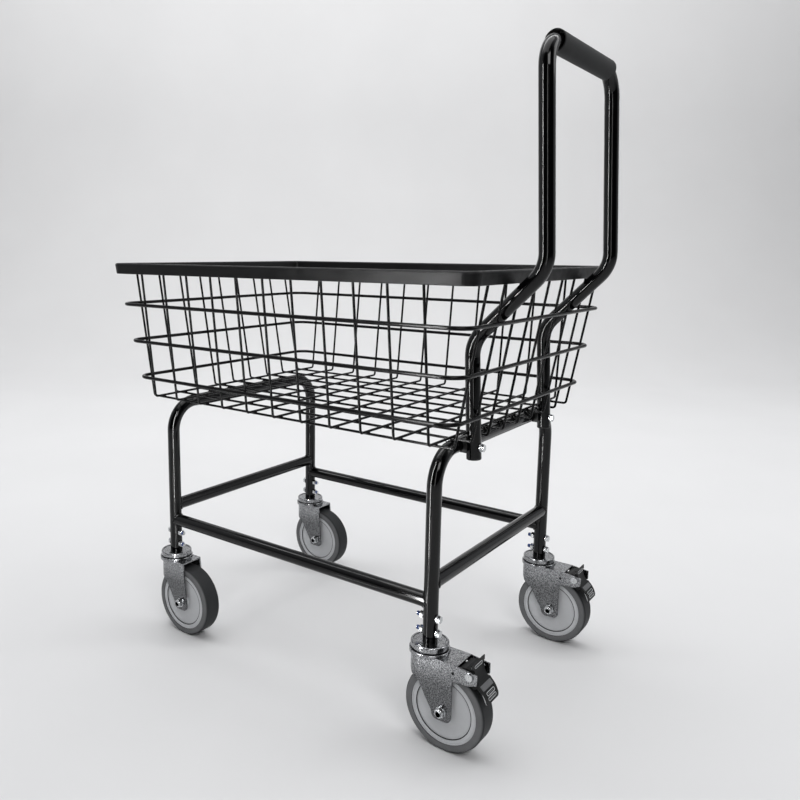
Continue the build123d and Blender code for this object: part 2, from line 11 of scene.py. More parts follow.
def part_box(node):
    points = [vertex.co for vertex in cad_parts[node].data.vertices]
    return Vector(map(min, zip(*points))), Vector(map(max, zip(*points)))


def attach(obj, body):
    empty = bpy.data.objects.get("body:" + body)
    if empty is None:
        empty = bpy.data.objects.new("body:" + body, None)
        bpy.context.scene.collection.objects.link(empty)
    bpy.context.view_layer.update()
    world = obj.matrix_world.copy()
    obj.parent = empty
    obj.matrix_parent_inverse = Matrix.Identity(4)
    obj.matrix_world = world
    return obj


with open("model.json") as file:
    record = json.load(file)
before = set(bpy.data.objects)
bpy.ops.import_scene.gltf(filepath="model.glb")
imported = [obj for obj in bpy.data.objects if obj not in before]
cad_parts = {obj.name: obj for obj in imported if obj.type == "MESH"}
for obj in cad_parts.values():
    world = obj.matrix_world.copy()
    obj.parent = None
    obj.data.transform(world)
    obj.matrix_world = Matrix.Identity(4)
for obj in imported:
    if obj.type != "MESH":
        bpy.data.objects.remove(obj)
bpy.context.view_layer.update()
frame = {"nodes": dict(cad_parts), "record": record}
nodes = frame["nodes"]
record = frame["record"]
MM = 0.001
WHITE = (1.0, 1.0, 1.0)
CORNERS = ("front_left", "front_right", "rear_left", "rear_right")
TUBE_R = 11 * MM           # the frame's tubes
STRAIGHT_HALF = 150 * MM   # the cross tubes are straight this far either side


def middle(node):
    low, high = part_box(node)
    return (low + high) / 2


def leg_axis(corner):
    """The foot of a leg's centre line on the floor."""
    centre = middle(f"caster_top_{corner}")
    return Vector((centre.x, centre.y, 0))


def turns(sides):
    """Angles evenly round a circle."""
    return [2 * pi * k / sides for k in range(sides)]


# ---- camera -------------------------------------------------------------
CAMERA_AT = Vector((0.7677, -1.1171, 0.7112))
CAMERA_YAW = 37.94         # degrees to the left of +Y
CAMERA_PITCH = 8.87        # degrees downward
CAMERA_ROLL = 0.31
CAMERA_LENS = 34.39        # millimetres, on a sensor 36 wide
CAMERA_SENSOR = 36.0
CAMERA_SHIFT = (0.0971, -0.0379)
TOWARDS_CAMERA = Vector((sin(radians(CAMERA_YAW)), -cos(radians(CAMERA_YAW)), 0))   # level with the floor


def make_camera():
    yaw, pitch, roll = radians(CAMERA_YAW), radians(CAMERA_PITCH), radians(CAMERA_ROLL)
    ahead = Vector((-sin(yaw) * cos(pitch), cos(yaw) * cos(pitch), -sin(pitch)))
    level = Vector((cos(yaw), sin(yaw), 0))
    above = level.cross(ahead)
    right = cos(roll) * level + sin(roll) * above
    up = cos(roll) * above - sin(roll) * level
    data = bpy.data.cameras.new("camera")
    data.lens = CAMERA_LENS
    data.sensor_width = CAMERA_SENSOR
    data.shift_x, data.shift_y = CAMERA_SHIFT
    camera = bpy.data.objects.new("camera", data)
    bpy.context.scene.collection.objects.link(camera)
    facing = Matrix((right, up, -ahead)).transposed().to_4x4()
    camera.matrix_world = Matrix.Translation(CAMERA_AT) @ facing
    bpy.context.scene.camera = camera


# ---- studio -------------------------------------------------------------
SIDE_STRIP = Vector((0.02, -0.66, 0.62))   # the middle of an upright strip beside the basket
WORLD_PALE, WORLD_DARK = (0.95, 0.97, 1.0), (0.02, 0.021, 0.022)


def area_light(name, at, towards, size, power):
    data = bpy.data.lights.new(name, "AREA")
    data.shape = "RECTANGLE"
    data.size, data.size_y = size
    data.energy = power
    light = bpy.data.objects.new(name, data)
    bpy.context.scene.collection.objects.link(light)
    light.location = at
    light.rotation_euler = (Vector(towards) - Vector(at)).to_track_quat("-Z", "Y").to_euler()
    light.visible_camera = False
    return light


def gloss_strip(name, at, towards, size, power):
    """A narrow light that shows as a line on glossy surfaces and leaves the rest alone."""
    light = area_light(name, at, towards, size, power)
    light.visible_diffuse = False
    return light


def make_world():
    """Pale surroundings that fall dark on the camera's side, as in a studio."""
    world = bpy.data.worlds.new("studio")
    bpy.context.scene.world = world
    world.use_nodes = True
    tree = world.node_tree
    place = tree.nodes.new("ShaderNodeTexCoord")
    towards = tree.nodes.new("ShaderNodeVectorMath")
    towards.operation = "DOT_PRODUCT"
    towards.inputs[1].default_value = TOWARDS_CAMERA
    tree.links.new(place.outputs["Generated"], towards.inputs[0])
    background = tree.nodes["Background"]
    tones = ramp(tree, towards.outputs["Value"], [(0.0, WORLD_PALE), (0.4, WORLD_DARK)])
    tree.links.new(tones, background.inputs["Color"])
    background.inputs["Strength"].default_value = 0.6


def floor_line(name, corner):
    """A gloss strip on the floor, from near a leg towards the side strip, seen in the leg's foot."""
    near, far, width, power = 0.3, 1.2, 0.018, 0.7
    above_floor = Vector((0, 0, 0.003))
    leg = leg_axis(corner)
    way = Vector((SIDE_STRIP.x - leg.x, SIDE_STRIP.y - leg.y, 0)).normalized()
    centre = leg + above_floor + way * (near + far) / 2
    light = gloss_strip(name, centre, centre + Vector((0, 0, 1)), (width, far - near), power)
    down = Vector((0, 0, -1))
    light.rotation_euler = Matrix((way.cross(down), way, down)).transposed().to_euler()


def make_studio():
    """Soft light from above and behind, and strips that draw the bright lines on the tubes."""
    make_world()
    facing_side_strip = (SIDE_STRIP.x, 0, SIDE_STRIP.z)
    gloss_strip("side_line", SIDE_STRIP, facing_side_strip, size=(0.022, 1.1), power=8)
    gloss_strip("front_line", at=(1.55, -2.3, 0.9), towards=(0, 0, 0.6), size=(0.12, 1.6), power=6)
    floor_line("floor_line_rear", "rear_left")
    floor_line("floor_line_front", "front_left")
    area_light("window", at=(1.9, -1.6, 2.3), towards=(0, 0, 0.3), size=(1.2, 1.2), power=26)
    area_light("back_right", at=(2.2, 1.6, 2.3), towards=(0, 0, 0.2), size=(1.4, 1.4), power=12)
    area_light("overhead", at=(-0.2, -0.6, 3.4), towards=(-0.2, -0.6, 0), size=(3.0, 3.0), power=46)
    high, on_wall = Vector((0, 0, 4.2)), Vector((0, 0, 1.9)) - TOWARDS_CAMERA * 4.2
    area_light("wall_wash", at=high - TOWARDS_CAMERA, towards=on_wall, size=(7.5, 1.2), power=205)


def make_floor():
    """A pale sweep: floor, a wide curve, and a wall behind."""
    half_wide, front, curve_start, radius, height, steps = 7.0, -5.0, 2.6, 1.6, 5.0, 24
    profile = [(front, 0.0), (curve_start, 0.0)]
    for i in range(1, steps + 1):
        turn = pi / 2 * i / steps
        profile.append((curve_start + radius * sin(turn), radius * (1 - cos(turn))))
    profile.append((curve_start + radius, height))
    along = -TOWARDS_CAMERA
    across = Vector((along.y, -along.x, 0))
    mesh = bpy.data.meshes.new("floor")
    bm = bmesh.new()
    rows = []
    for reach, z in profile:
        centre, aside = along * reach + Vector((0, 0, z)), across * half_wide
        rows.append([bm.verts.new(centre - aside), bm.verts.new(centre + aside)])
    for a, b in zip(rows, rows[1:]):
        bm.faces.new((a[0], a[1], b[1], b[0]))
    bm.normal_update()
    bm.to_mesh(mesh)
    bm.free()
    mesh.polygons.foreach_set("use_smooth", [True] * len(mesh.polygons))
    floor = bpy.data.objects.new("floor", mesh)
    bpy.context.scene.collection.objects.link(floor)
    floor.data.materials.append(floor_material())


# ---- material building blocks -------------------------------------------
def new_material(name, colour, roughness, metallic=0.0):
    """A principled material; returns it with its nodes, links, shader and coordinates."""
    material = bpy.data.materials.new(name)
    material.use_nodes = True
    tree = material.node_tree
    shader = tree.nodes["Principled BSDF"]
    shader.inputs["Base Color"].default_value = (*colour, 1)
    shader.inputs["Roughness"].default_value = roughness
    shader.inputs["Metallic"].default_value = metallic
    place = tree.nodes.new("ShaderNodeTexCoord")
    return material, tree, shader, place


def noise(tree, place, scale, detail=3.0):
    """A noise value in object space, with its scale in cycles per metre."""
    node = tree.nodes.new("ShaderNodeTexNoise")
    node.inputs["Scale"].default_value = scale
    node.inputs["Detail"].default_value = detail
    tree.links.new(place.outputs["Object"], node.inputs["Vector"])
    return node.outputs["Fac"]


def remap(tree, value, low, high, to_low, to_high):
    """A value scaled from one range to another, and held within it."""
    node = tree.nodes.new("ShaderNodeMapRange")
    node.inputs["From Min"].default_value = low
    node.inputs["From Max"].default_value = high
    node.inputs["To Min"].default_value = to_low
    node.inputs["To Max"].default_value = to_high
    tree.links.new(value, node.inputs["Value"])
    return node.outputs["Result"]


def ramp(tree, value, stops):
    """Colours by value; each stop is (position, colour)."""
    node = tree.nodes.new("ShaderNodeValToRGB")
    elements = node.color_ramp.elements
    while len(elements) < len(stops):
        elements.new(0.5)
    for element, (position, colour) in zip(elements, stops):
        element.position = position
        element.color = (*colour, 1)
    tree.links.new(value, node.inputs["Fac"])
    return node.outputs["Color"]


def multiply(tree, one, other):
    """The product of two colours."""
    mix = tree.nodes.new("ShaderNodeMix")
    mix.data_type = "RGBA"
    mix.blend_type = "MULTIPLY"
    mix.inputs["Factor"].default_value = 1.0
    tree.links.new(one, mix.inputs["A"])
    tree.links.new(other, mix.inputs["B"])
    return mix.outputs["Result"]


def mottled(tree, place, shader, scale, low, high, socket="Base Color"):
    """Sets a socket of the shader to a noise between two colours, or two values."""
    cloud = noise(tree, place, scale)
    if socket == "Base Color":
        tone = ramp(tree, cloud, [(0.3, low), (0.7, high)])
    else:
        tone = remap(tree, cloud, 0.3, 0.7, low, high)
    tree.links.new(tone, shader.inputs[socket])


def bump(tree, shader, height, strength, depth):
    """Relief from a height value, with its depth in metres."""
    node = tree.nodes.new("ShaderNodeBump")
    node.inputs["Strength"].default_value = strength
    node.inputs["Distance"].default_value = depth
    tree.links.new(height, node.inputs["Height"])
    tree.links.new(node.outputs["Normal"], shader.inputs["Normal"])


# ---- materials ----------------------------------------------------------
def floor_material():
    material, tree, shader, place = new_material("studio_floor", (0.7, 0.7, 0.705), 0.9)
    shader.inputs["Specular IOR Level"].default_value = 0.1
    mottled(tree, place, shader, 2.0, (0.69, 0.69, 0.695), (0.71, 0.71, 0.715))
    return material


def black_coat(name, roughness, peel, gloss):
    """Black powder coat: fine orange peel and a faint change of gloss."""
    material, tree, shader, place = new_material(name, (0.0012, 0.0012, 0.0014), roughness)
    shader.inputs["Specular IOR Level"].default_value = gloss
    mottled(tree, place, shader, 35.0, roughness * 0.8, roughness * 1.35, "Roughness")
    bump(tree, shader, noise(tree, place, 420.0, 2.0), peel, 0.0002)
    return material


def rim_vinyl():
    """Black vinyl, a little duller than the coated steel."""
    material, tree, shader, place = new_material("rim_vinyl", (0.004, 0.004, 0.0045), 0.36)
    shader.inputs["Specular IOR Level"].default_value = 0.18
    mottled(tree, place, shader, 60.0, 0.3, 0.46, "Roughness")
    bump(tree, shader, noise(tree, place, 900.0), 0.25, 0.0003)
    return material


def grip_foam():
    """Matt dark foam with open pores."""
    material, tree, shader, place = new_material("grip_foam", (0.014, 0.015, 0.016), 0.85)
    shader.inputs["Specular IOR Level"].default_value = 0.25
    shader.inputs["Sheen Weight"].default_value = 0.08
    shader.inputs["Sheen Roughness"].default_value = 0.5
    mottled(tree, place, shader, 120.0, (0.006, 0.0066, 0.007), (0.011, 0.0117, 0.0124))
    bump(tree, shader, noise(tree, place, 1500.0, 4.0), 0.35, 0.0003)
    return material


def moulded_plastic(name, colour, roughness, gloss, texture=1100.0):
    """Moulded plastic with a fine even texture and a faint mottle in its tone."""
    material, tree, shader, place = new_material(name, colour, roughness)
    shader.inputs["Specular IOR Level"].default_value = gloss
    deep, pale = (tuple(c * change for c in colour) for change in (0.94, 1.06))
    mottled(tree, place, shader, 30.0, deep, pale)
    bump(tree, shader, noise(tree, place, texture), 0.15, 0.0002)
    return material


def zinc(name, low, high, smooth, grain_scale, dents, painted_shade=1.0):
    """Zinc plate: a crystalline grain in tone and gloss over gently uneven steel.

    Below the caster heads the colours are multiplied by a painted shade factor, which stands in for the dark
    reflections on the fork sides.
    """
    # Painted shade: full below the first height, gone above the second.
    shade_full_below, shade_gone_above = 0.1, 0.128
    material, tree, shader, place = new_material(name, high, smooth, 1.0)
    grain = noise(tree, place, grain_scale, 5.0)
    tones = ramp(tree, grain, [(0.4, low), (0.6, high)])
    if painted_shade < 1.0:
        split = tree.nodes.new("ShaderNodeSeparateXYZ")
        tree.links.new(place.outputs["Object"], split.inputs["Vector"])
        height = remap(tree, split.outputs["Z"], shade_full_below, shade_gone_above, 0.0, 1.0)
        tones = multiply(tree, tones, ramp(tree, height, [(0.0, (painted_shade, painted_shade, painted_shade)), (1.0, WHITE)]))
    tree.links.new(tones, shader.inputs["Base Color"])
    mottled(tree, place, shader, 110.0, smooth * 0.7, smooth * 1.5, "Roughness")
    bump(tree, shader, noise(tree, place, 240.0, 3.0), dents, 0.0004)
    return material


def race_steel():
    """Dark hardened steel, just visible between the caster's plates."""
    material, tree, shader, place = new_material("race_steel", (0.03, 0.03, 0.032), 0.35, 1.0)
    mottled(tree, place, shader, 200.0, 0.25, 0.5, "Roughness")
    return material


def tyre_rubber():
    """Grey rubber, darker on the tread than on the side walls: painted shade on the tread and painted light
    on the side walls, set by which way the surface faces.
    """
    tread, side_wall = (0.022, 0.023, 0.025), (0.165, 0.168, 0.172)
    material, tree, shader, place = new_material("tyre_rubber", (0.1, 0.1, 0.105), 0.6)
    shader.inputs["Specular IOR Level"].default_value = 0.25
    split = tree.nodes.new("ShaderNodeSeparateXYZ")
    tree.links.new(place.outputs["Normal"], split.inputs["Vector"])
    sideways = tree.nodes.new("ShaderNodeMath")
    sideways.operation = "ABSOLUTE"
    tree.links.new(split.outputs["Y"], sideways.inputs[0])
    # Painted shade and light: dark where the surface faces out from the axle, pale where it faces sideways.
    tones = ramp(tree, sideways.outputs["Value"], [(0.55, tread), (0.95, side_wall)])
    dust = ramp(tree, noise(tree, place, 70.0), [(0.3, (0.86, 0.86, 0.86)), (0.7, WHITE)])
    tree.links.new(multiply(tree, tones, dust), shader.inputs["Base Color"])
    bump(tree, shader, noise(tree, place, 900.0), 0.15, 0.0003)
    return material


def make_looks():
    """The record's material slots by name, and four looks for the added pieces alone."""
    caster_low, caster_high = (0.12, 0.124, 0.13), (0.46, 0.465, 0.475)
    bolt_low, bolt_high = (0.5, 0.51, 0.52), (0.66, 0.67, 0.68)
    return {
        "frame_paint": black_coat("frame_paint", 0.1, 0.03, 0.32),
        "basket_wire": black_coat("basket_wire", 0.2, 0.06, 0.16),
        "rim_trim": rim_vinyl(),
        "grip_foam": grip_foam(),
        "black_plastic": moulded_plastic("black_plastic", (0.008, 0.008, 0.008), 0.42, 0.3),
        "bolt_steel": zinc("bolt_zinc", bolt_low, bolt_high, 0.2, 900.0, 0.1),
        # Caster zinc with painted shade below the heads.
        "caster_zinc": zinc("pressed_zinc", caster_low, caster_high, 0.19, 560.0, 0.14, painted_shade=0.5),
        "race_steel": race_steel(),
        "hub_plastic": moulded_plastic("hub_plastic", (0.62, 0.63, 0.645), 0.38, 0.4, 800.0),
        "tyre_rubber": tyre_rubber(),
        "pedal_plastic": moulded_plastic("pedal_plastic", (0.006, 0.0062, 0.0066), 0.45, 0.18),
        # Pale: painted highlights along the pedal's edges.
        "pedal_painted_highlight": moulded_plastic("pedal_painted_highlight", (0.5, 0.51, 0.52), 0.4, 0.4),
        "pedal_grey": moulded_plastic("pedal_grey", (0.12, 0.122, 0.126), 0.5, 0.3),
        # Near-black painted shade for the hub grooves.
        "groove_painted_shade": moulded_plastic("groove_painted_shade", (0.012, 0.012, 0.013), 0.7, 0.1),
        "thread_blue": moulded_plastic("thread_blue", (0.008, 0.05, 0.22), 0.35, 0.5),
    }


def dress_cad_nodes():
    for part in record["subparts"]:
        mesh = nodes[part["node"]].data
        mesh.materials.clear()
        mesh.materials.append(looks[part["material_slot"]])


# ---- mesh building blocks -----------------------------------------------
class Shape:
    """Vertices and faces gathered from several forms into one mesh."""

    def __init__(self):
        self.points, self.faces, self.kinds = [], [], []

    def add_faces(self, faces, kind):
        self.faces += faces
        self.kinds += [kind] * len(faces)

    def skin(self, rows, closed=False, kind=0):
        """A skin over closed sections, one row of points each; closed joins the last to the first."""
        base, wide = len(self.points), len(rows[0])
        for row in rows:
            self.points.extend(row)
        for i in range(len(rows) if closed else len(rows) - 1):
            here, ahead = base + i * wide, base + (i + 1) % len(rows) * wide
            edges = [(j, (j + 1) % wide) for j in range(wide)]
            self.add_faces([[here + j, here + k, ahead + k, ahead + j] for j, k in edges], kind)
        return base

    def rod(self, rows, kind=0):
        """A skin over closed sections, with a flat face over the last and the first of them."""
        base, sides = self.skin(rows, kind=kind), len(rows[0])
        last = base + (len(rows) - 1) * sides
        self.add_faces([[last + k for k in range(sides)], [base + k for k in reversed(range(sides))]], kind)

    def bar(self, line, radius, closed=False, kind=0):
        """A round bar along a line of points; radius is a number or one number a point."""
        sides, count = 8, len(line)
        radii = radius if isinstance(radius, list) else [radius] * count
        rows, side = [], None
        for i, point in enumerate(line):
            before = line[i - 1] if closed or i else line[0]
            after = line[(i + 1) % count] if closed or i < count - 1 else line[-1]
            way = (after - before).normalized()
            if side is None:
                side = way.orthogonal().normalized()
            side = (side - way * side.dot(way)).normalized()
            other = way.cross(side)
            rows.append([point + radii[i] * (cos(t) * side + sin(t) * other) for t in turns(sides)])
        if closed:
            self.skin(rows, True, kind)
        else:
            self.rod(rows, kind)

    def lump(self, centre, axes):
        """A small rounded lump; axes are its three half-size vectors."""
        steps, sides = 5, 8
        rows = []
        for i in range(1, steps):
            rise = pi * i / steps - pi / 2
            level = centre + sin(rise) * axes[2]
            rows.append([level + cos(rise) * (cos(t) * axes[0] + sin(t) * axes[1]) for t in turns(sides)])
        base = self.skin(rows)
        low, high = len(self.points), len(self.points) + 1
        self.points += [centre - axes[2], centre + axes[2]]
        last = base + (steps - 2) * sides
        for k in range(sides):
            after = (k + 1) % sides
            self.add_faces([[low, base + after, base + k], [high, last + k, last + after]], 0)

    def place(self, name, materials, body, slot):
        """The finished object, riding on its body."""
        mesh = bpy.data.meshes.new(name)
        mesh.from_pydata(self.points, [], self.faces)
        for material in materials:
            mesh.materials.append(looks[material])
        mesh.polygons.foreach_set("material_index", self.kinds)
        bm = bmesh.new()
        bm.from_mesh(mesh)
        bmesh.ops.recalc_face_normals(bm, faces=bm.faces)
        bm.to_mesh(mesh)
        bm.free()
        mesh.polygons.foreach_set("use_smooth", [True] * len(mesh.polygons))
        piece = bpy.data.objects.new(name, mesh)
        bpy.context.scene.collection.objects.link(piece)
        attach(piece, body)


def half_sizes(x, y, z):
    """Axes of a lump from its half sizes in millimetres."""
    return Vector((x * MM, 0, 0)), Vector((0, y * MM, 0)), Vector((0, 0, z * MM))


def wheel_circle(centre, radius, y, count):
    """Points round an axis that runs across the cart, at a place along it."""
    return [Vector((centre.x + radius * cos(t), y, centre.z + radius * sin(t))) for t in turns(count)]


def thread(foot, way, aside, length, pitch, radius, crest, blunt, steps, sides):
    """Sections of a screw thread from its foot; the crests die out over the last millimetre.

    Blunt is the part of the crest that is left at the tip.
    """
    upward = Vector((0, 0, 1))
    rows = []
    for i in range(steps + 1):
        along = length * i / steps
        fade = min(1.0, (length - along) / MM + blunt)
        row = []
        for t in turns(sides):
            reach = radius + crest * fade * (0.5 + 0.5 * cos(2 * pi * along / pitch - t))
            row.append(foot + way * along + reach * (cos(t) * aside + sin(t) * upward))
        rows.append(row)
    return rows


# ---- welds --------------------------------------------------------------
def rail_welds():
    """Rippled beads where the rails are coped against the legs."""
    bead, ripple, ripples, stand_off, count = 1.5 * MM, 0.13, 26, 0.7 * MM, 96
    squeeze = 0.96   # keeps the widest points of the bead in front of the leg's middle
    shape = Shape()
    for corner in CORNERS:
        leg = leg_axis(corner)
        along_cart, across_cart = Vector((-leg.x, 0, 0)), Vector((0, -leg.y, 0))
        for rail, way in (("side_rail_left", along_cart), ("cross_rail_front", across_cart)):
            way = way.normalized()
            across = Vector((-way.y, way.x, 0))
            height = middle(rail).z
            line, radii = [], []
            for t in turns(count):
                aside = TUBE_R * cos(t)
                reach = (TUBE_R**2 - (squeeze * aside) ** 2) ** 0.5 + stand_off
                line.append(leg + way * reach + across * aside + Vector((0, 0, height + TUBE_R * sin(t))))
                radii.append(bead * (1 + ripple * sin(ripples * t + 3 * leg.x)))
            shape.bar(line, radii, closed=True)
    shape.place("rail_welds", ["frame_paint"], "cart", "frame_paint")


WIRE_R, SIDE_WIRES, END_WIRES = 2 * MM, 11, 9


def wire_places():
    """X of each side wire and Y of each end wire, from the boxes of the hoops."""
    (side_low, side_high), (end_low, end_high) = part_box("side_hoops"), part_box("end_hoops")
    places = []
    for low, high, count in ((side_low.x, side_high.x, SIDE_WIRES), (end_low.y, end_high.y, END_WIRES)):
        first, last = low + WIRE_R, high - WIRE_R
        places.append([first + (last - first) * i / (count - 1) for i in range(count)])
    return places


def wire_welds():
    """Small nuggets where the wires cross each other and the rings."""
    xs, ys = wire_places()
    on_floor = half_sizes(2.5, 2.5, 1.2)
    on_side, on_end = half_sizes(2.4, 1.3, 2.6), half_sizes(1.3, 2.4, 2.6)
    contact = (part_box("end_hoops")[0].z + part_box("side_hoops")[0].z + 2 * WIRE_R) / 2
    shape = Shape()
    for x in xs:
        for y in ys:
            shape.lump(Vector((x, y, contact)), on_floor)
    inset = 6.1 * MM   # from the outside of a ring to where it touches the wires
    for ring in ("ring_bottom", "ring_middle", "ring_top"):
        low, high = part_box(ring)
        z = (low.z + high.z) / 2
        for x in xs:
            for y in (low.y + inset, high.y - inset):
                shape.lump(Vector((x, y, z)), on_side)
        for y in ys:
            for x in (low.x + inset, high.x - inset):
                shape.lump(Vector((x, y, z)), on_end)
    shape.place("wire_welds", ["basket_wire"], "cart", "basket_wire")


def floor_welds():
    """Welds that hold the basket's end wires to the two cross tubes, on both faces."""
    tilt, long, wide, tall = radians(38), 4.2 * MM, 5.6 * MM, 2.2 * MM
    shape = Shape()
    ys = wire_places()[1]
    for frame_node in ("end_frame_front", "end_frame_rear"):
        x, top = middle(frame_node).x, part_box(frame_node)[1].z
        for y in (y for y in ys if abs(y) < STRAIGHT_HALF):
            for side in (-1, 1):
                out = Vector((side * sin(tilt), 0, cos(tilt)))
                down = Vector((side * cos(tilt), 0, -sin(tilt)))
                centre = Vector((x, y, top - TUBE_R)) + out * TUBE_R
                shape.lump(centre, [down * long, Vector((0, wide, 0)), out * tall])
    shape.place("basket_welds", ["frame_paint"], "cart", "frame_paint")


# ---- rim ----------------------------------------------------------------
RIM_LEAN = radians(8.3)
RIM_CORNER = 20.2 * MM   # the rim's outer corner radius at its top


def rim_line(z, step):
    """Points and outward directions round the rim's outer face at a height."""
    low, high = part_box("rim_trim")
    inset = (high.z - z) * tan(RIM_LEAN)
    corner = RIM_CORNER - inset
    far_x, far_y = (high.x - low.x) / 2 - inset - corner, (high.y - low.y) / 2 - inset - corner
    centre = (low + high) / 2
    signs = ((1, 1), (-1, 1), (-1, -1), (1, -1))
    pivots = [Vector((centre.x + sx * far_x, centre.y + sy * far_y, z)) for sx, sy in signs]
    arc_steps = max(6, int(corner * pi / 2 / step))
    line = []
    for quarter, pivot in enumerate(pivots):
        for i in range(arc_steps + 1):
            turn = pi / 2 * (quarter + i / arc_steps)
            out = Vector((cos(turn), sin(turn), 0))
            line.append((pivot + out * corner, out))
        run = pivots[(quarter + 1) % 4] - pivot
        count = int(run.length / step)
        for i in range(1, count):
            line.append((pivot + run * (i / count) + out * corner, out))
    return line


def rim_bead():
    """The fine bead between the rim's smooth top and its ribbed skirt."""
    below_top, radius, step = 6.2 * MM, 0.55 * MM, 6 * MM
    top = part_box("rim_trim")[1].z
    shape = Shape()
    shape.bar([point for point, _ in rim_line(top - below_top, step)], radius, closed=True)
    shape.place("rim_bead", ["rim_trim"], "cart", "rim_trim")


def rim_ribs():
    """Slanting ribs moulded round the lower part of the rim."""
    low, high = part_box("rim_trim")
    first, last, rows = low.z + 2.2 * MM, high.z - 7.4 * MM, 6
    pitch, tall, slant, step = 3.6 * MM, 0.42 * MM, 0.55, 0.9 * MM
    proud, sunk = 0.05 * MM, 0.3 * MM
    heights = [first + (last - first) * i / (rows - 1) for i in range(rows)]
    skin, run, before = [], 0.0, None
    for point, out in rim_line(low.z, step):
        if before is not None:
            run += (point - before).length
        before = point
        lifts = []
        for row, z in enumerate(heights):
            fade = sin(pi * (row + 0.5) / rows) ** 0.5
            wave = 0.5 + 0.5 * sin(2 * pi * (run + slant * (z - first)) / pitch)
            lifts.append((z, proud + tall * fade * wave))
        lifts += [(heights[-1], -sunk), (heights[0], -sunk)]
        skin.append([
            Vector((point.x, point.y, z)) + out * ((z - low.z) * tan(RIM_LEAN) + lift) for z, lift in lifts
        ])
    shape = Shape()
    shape.skin(skin, closed=True)
    shape.place("rim_ribs", ["rim_trim"], "cart", "rim_trim")


# ---- fasteners ----------------------------------------------------------
def stem_threads():
    """Screw threads on the ends of the stem bolts, with a patch of blue locking compound."""
    start, length, pitch = TUBE_R + 5.05 * MM, 5.9 * MM, 1.0 * MM   # the nuts are 5 mm tall
    radius, crest, blunt, steps, sides = 3.05 * MM, 0.32 * MM, 0.15, 35, 16
    nut_point = 5 * MM / cos(pi / 6)   # from the middle of a nut to its corners
    bare_steps = 7
    nut_low, nut_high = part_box("stem_nuts")
    shape = Shape()
    for corner in CORNERS:
        leg = leg_axis(corner)
        inward = -1 if leg.x > middle("stem_bolts").x else 1
        for z in (nut_low.z + nut_point, nut_high.z - nut_point):
            foot, way = Vector((leg.x + inward * start, leg.y, z)), Vector((inward, 0, 0))
            first_face = len(shape.faces)
            aside = Vector((0, 1, 0))
            shape.rod(thread(foot, way, aside, length, pitch, radius, crest, blunt, steps, sides))
            blue_from = first_face + bare_steps * sides
            shape.kinds[blue_from:-1] = [1] * (len(shape.kinds) - 1 - blue_from)
    shape.place("stem_threads", ["bolt_steel", "thread_blue"], "cart", "bolt_steel")


# ---- wheels -------------------------------------------------------------
def hub_grooves():
    """The dark line round each hub face, a painted shade: a near-black ring in the groove, where the groove
    lies in shade; and the moulded rib just outside it.
    """
    half_wide, sides = 16 * MM, 120
    groove_r, groove_deep, groove_thick = 44 * MM, 0.55 * MM, 0.58 * MM
    rib_r, rib_thick = 49.2 * MM, 0.35 * MM
    for corner in CORNERS:
        centre = middle(f"hub_{corner}")
        shape = Shape()
        for side in (-1, 1):
            face = centre.y + side * half_wide
            groove = wheel_circle(centre, groove_r, face - side * groove_deep, sides)
            # Painted shade: a near-black ring in the groove.
            shape.bar(groove, groove_thick, closed=True, kind=0)
            shape.bar(wheel_circle(centre, rib_r, face, sides), rib_thick, closed=True, kind=1)
        shape.place(f"hub_groove_shade_{corner}", ["groove_painted_shade", "hub_plastic"], f"wheel_{corner}", "hub_plastic")


def axle_threads():
    """Thread on the end of each axle bolt past its nut, and a round boss on each nut."""
    length, pitch, radius, crest, blunt = 2.4 * MM, 1.2 * MM, 4.04 * MM, 0.35 * MM, 0.1
    steps, sides = 12, 20
    boss_r, boss_thick, boss_in, boss_sides = 5.4 * MM, 0.8 * MM, 2.6 * MM, 36
    for corner in CORNERS:
        centre, end = middle(f"axle_{corner}"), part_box(f"axle_{corner}")[0].y
        foot, way, aside = Vector((centre.x, end + length, centre.z)), Vector((0, -1, 0)), Vector((1, 0, 0))
        shape = Shape()
        shape.rod(thread(foot, way, aside, length, pitch, radius, crest, blunt, steps, sides))
        shape.bar(wheel_circle(centre, boss_r, end + boss_in, boss_sides), boss_thick, closed=True)
        shape.place(f"axle_thread_{corner}", ["bolt_steel"], f"swivel_{corner}", "bolt_steel")


# ---- brake pedals -------------------------------------------------------
# Millimetres from the caster's swivel axis, and above the floor.
PEDAL_TIP, PEDAL_HOLLOW, PEDAL_KNEE = (77.6, 148.0), (80.2, 132.5), (89.5, 118.0)
PEDAL_ARCH, PEDAL_TOE = (97.7, 108.4), (102.0, 96.5)
SLOT_HEIGHTS, SLOT_HALF_LONG, SLOT_HALF_TALL = (141.8, 108.6, 102.6), 11.0, 1.9
BAND_TOP, BAND_BOTTOM, BAND_HALF_WIDE, BAND_STEPS = 119.2, 113.0, 16.5, 8


def arc_through(a, b, c, count):
    """Points on the circle arc from a through b to c, in the plane of the two numbers."""
    (ax, ay), (bx, by), (cx, cy) = a, b, c
    d = 2 * (ax * (by - cy) + bx * (cy - ay) + cx * (ay - by))
    sa, sb, sc = ax * ax + ay * ay, bx * bx + by * by, cx * cx + cy * cy
    centre = Vector((
        (sa * (by - cy) + sb * (cy - ay) + sc * (ay - by)) / d,
        (sa * (cx - bx) + sb * (ax - cx) + sc * (bx - ax)) / d,
    ))
    start, chord = Vector(a) - centre, Vector(c) - Vector(a)
    return [centre + (start + chord * (i / count)).normalized() * start.length for i in range(count + 1)]


PEDAL_PROFILE = arc_through(PEDAL_TIP, PEDAL_HOLLOW, PEDAL_KNEE, 40)
PEDAL_PROFILE += arc_through(PEDAL_KNEE, PEDAL_ARCH, PEDAL_TOE, 40)[1:]


